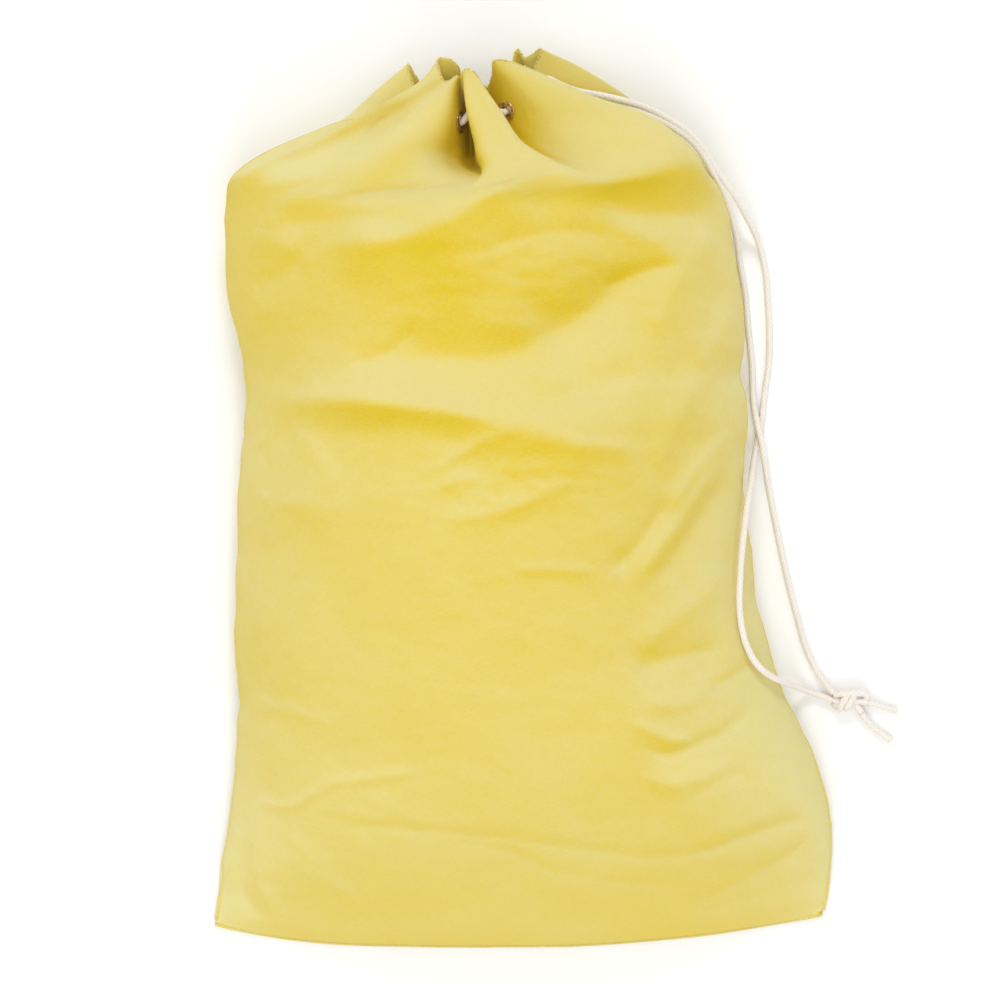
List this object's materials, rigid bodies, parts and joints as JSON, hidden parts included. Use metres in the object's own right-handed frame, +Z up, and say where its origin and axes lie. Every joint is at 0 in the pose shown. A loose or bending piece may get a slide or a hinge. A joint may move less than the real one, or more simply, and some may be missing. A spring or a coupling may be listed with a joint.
{
  "type": "drawstring laundry bag",
  "caption": "Canvas laundry bag lying packed full on its back, its grommeted mouth gathered shut by a knotted draw cord that lies beside it.",
  "frame": {"origin": "middle of the bag's footprint, without the free cord, on the surface that it lies on", "axes": "+Y from the bottom seam towards the gathered mouth, +X to the right as seen from above, +Z up through the front panel"},
  "size_m": [0.6773, 0.884, 0.19],
  "materials": {
    "canvas": "matte plain-weave cotton blend, yellow",
    "hem": "the same canvas turned over twice and stitched",
    "seam": "overlocked yellow sewing thread over canvas",
    "grommet": "antique brass, lightly worn",
    "cord": "off-white braided cotton cord"
  },
  "bodies": {
    "bag": {"front_panel": "canvas", "back_panel": "canvas", "left_side_seam": "seam", "right_side_seam": "seam", "bottom_seam": "seam", "front_hem": "hem", "back_hem": "hem", "grommet_1": "grommet", "grommet_washer_1": "grommet", "grommet_2": "grommet", "grommet_washer_2": "grommet", "grommet_3": "grommet", "grommet_washer_3": "grommet", "grommet_4": "grommet", "grommet_washer_4": "grommet", "grommet_5": "grommet", "grommet_washer_5": "grommet", "grommet_6": "grommet", "grommet_washer_6": "grommet", "grommet_7": "grommet", "grommet_washer_7": "grommet", "grommet_8": "grommet", "grommet_washer_8": "grommet", "grommet_9": "grommet", "grommet_washer_9": "grommet", "grommet_10": "grommet", "grommet_washer_10": "grommet", "grommet_11": "grommet", "grommet_washer_11": "grommet", "grommet_12": "grommet", "grommet_washer_12": "grommet", "hem_cord": "cord"},
    "drawcord": {"strand_over": "cord", "strand_under": "cord", "tail_upper": "cord", "tail_lower": "cord", "cord_knot": "cord"}
  },
  "joints": [
    {"name": "drawcord_pull", "type": "slide", "parent": "bag", "child": "drawcord", "axis": [0.9349, -0.3549, 0], "range_m": [0, 0.025]}
  ]
}
